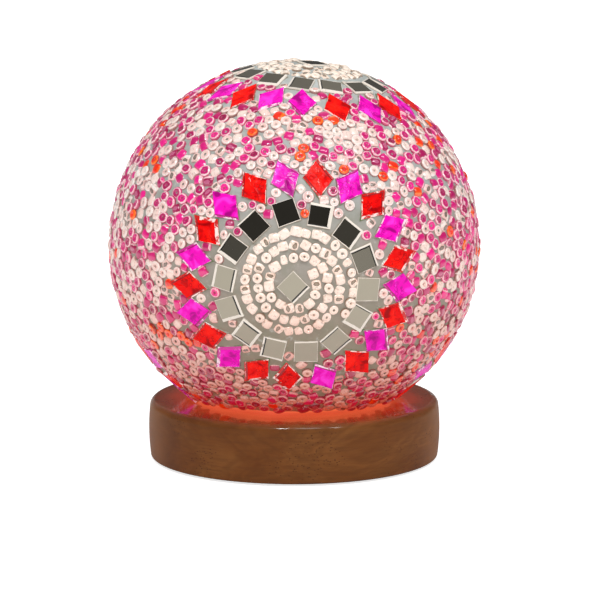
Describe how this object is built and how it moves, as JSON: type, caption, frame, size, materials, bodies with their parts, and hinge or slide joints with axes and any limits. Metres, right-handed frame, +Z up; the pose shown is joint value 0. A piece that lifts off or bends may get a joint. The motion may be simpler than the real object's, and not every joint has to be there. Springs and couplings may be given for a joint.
{
  "type": "mosaic glass table lamp",
  "caption": "Round table lamp: a frosted glass globe covered in seed beads, mirror squares and glass diamonds, lit from inside, on a low round wooden base.",
  "frame": {"origin": "middle of the surface the lamp stands on, under the base", "axes": "+Z up through the bulb and the globe, front towards -Y, cord entry towards +Y"},
  "size_m": [0.1672, 0.1673, 0.1807],
  "materials": {
    "wood": "satin lacquered brown hardwood with fine grain",
    "rubber": "soft matt rubber",
    "black_plastic": "moulded, lightly grained",
    "steel": "zinc plated",
    "white_plastic": "heat resistant moulding, satin",
    "brass": "plain stamped brass",
    "brown_insulation": "smooth wire insulation",
    "blue_insulation": "smooth wire insulation",
    "porcelain": "unglazed electrical porcelain",
    "black_glass": "vitrite insulator",
    "nickel": "nickel plated, satin",
    "opal_envelope": "opal diffuser, lit warm white",
    "aluminium": "bare board",
    "led_phosphor": "yellow phosphor",
    "frosted_glass": "blown glass, frosted outside",
    "grey_glue": "clear adhesive over the frosted glass, looks pale grey",
    "mirror_glass": "cut mirror squares with bright ground edges",
    "red_glass": "foil backed glass with a rippled face",
    "magenta_glass": "foil backed glass with a rippled face",
    "white_bead": "white lined clear seed beads",
    "pink_bead": "pink lined clear seed beads",
    "orange_bead": "orange lined clear seed beads"
  },
  "bodies": {
    "base": {"wood_base": "wood", "rubber_feet": "rubber", "cover_plate": "black_plastic", "cover_screws": "steel", "cord_bushing": "black_plastic", "threaded_nipple": "steel", "nipple_washer": "steel", "nipple_nut": "steel", "terminal_block": "white_plastic", "terminal_inserts": "brass", "clamp_screws": "steel", "block_screw": "steel", "wire_live": "brown_insulation", "wire_neutral": "blue_insulation", "holder_cap": "white_plastic", "holder_insert": "porcelain", "holder_shell": "white_plastic", "screw_shell": "brass", "centre_contact": "brass", "holder_terminals": "brass", "holder_terminal_screws": "steel"},
    "bulb_tip": {"bulb_insulator": "black_glass", "bulb_tip_contact": "nickel"},
    "bulb": {"bulb_cap": "nickel", "bulb_housing": "white_plastic", "bulb_envelope": "opal_envelope", "led_board": "aluminium", "led_chips": "led_phosphor"},
    "globe": {"globe_glass": "frosted_glass", "glue_coat": "grey_glue", "front_mirrors": "mirror_glass", "front_red_diamonds": "red_glass", "front_magenta_diamonds": "magenta_glass", "front_bead_spiral": "white_bead", "top_mirrors": "mirror_glass", "top_red_diamonds": "red_glass", "top_magenta_diamonds": "magenta_glass", "top_bead_spiral": "white_bead", "left_mirrors": "mirror_glass", "left_red_diamonds": "red_glass", "left_magenta_diamonds": "magenta_glass", "left_bead_spiral": "white_bead", "right_mirrors": "mirror_glass", "right_red_diamonds": "red_glass", "right_magenta_diamonds": "magenta_glass", "right_bead_spiral": "white_bead", "rosette_red_diamonds": "red_glass", "rosette_magenta_diamonds": "magenta_glass", "white_beads": "white_bead", "pink_beads": "pink_bead", "orange_beads": "orange_bead"}
  },
  "joints": [
    {"name": "globe_lift", "type": "slide", "parent": "base", "child": "globe", "axis": [0, 0, 1], "range_m": [0, 0.105]},
    {"name": "bulb_rise", "type": "slide", "parent": "base", "child": "bulb_tip", "axis": [0, 0, 1], "range_m": [0, 0.0142]},
    {"name": "bulb_turn", "type": "hinge", "parent": "bulb_tip", "child": "bulb", "pos_m": [0, 0, 0.05], "axis": [0, 0, 1], "range_deg": [0, 1800]}
  ],
  "couplings": [
    {"joint": "bulb_rise", "follows": "bulb_turn", "m_per_rad": 0.00044882}
  ]
}
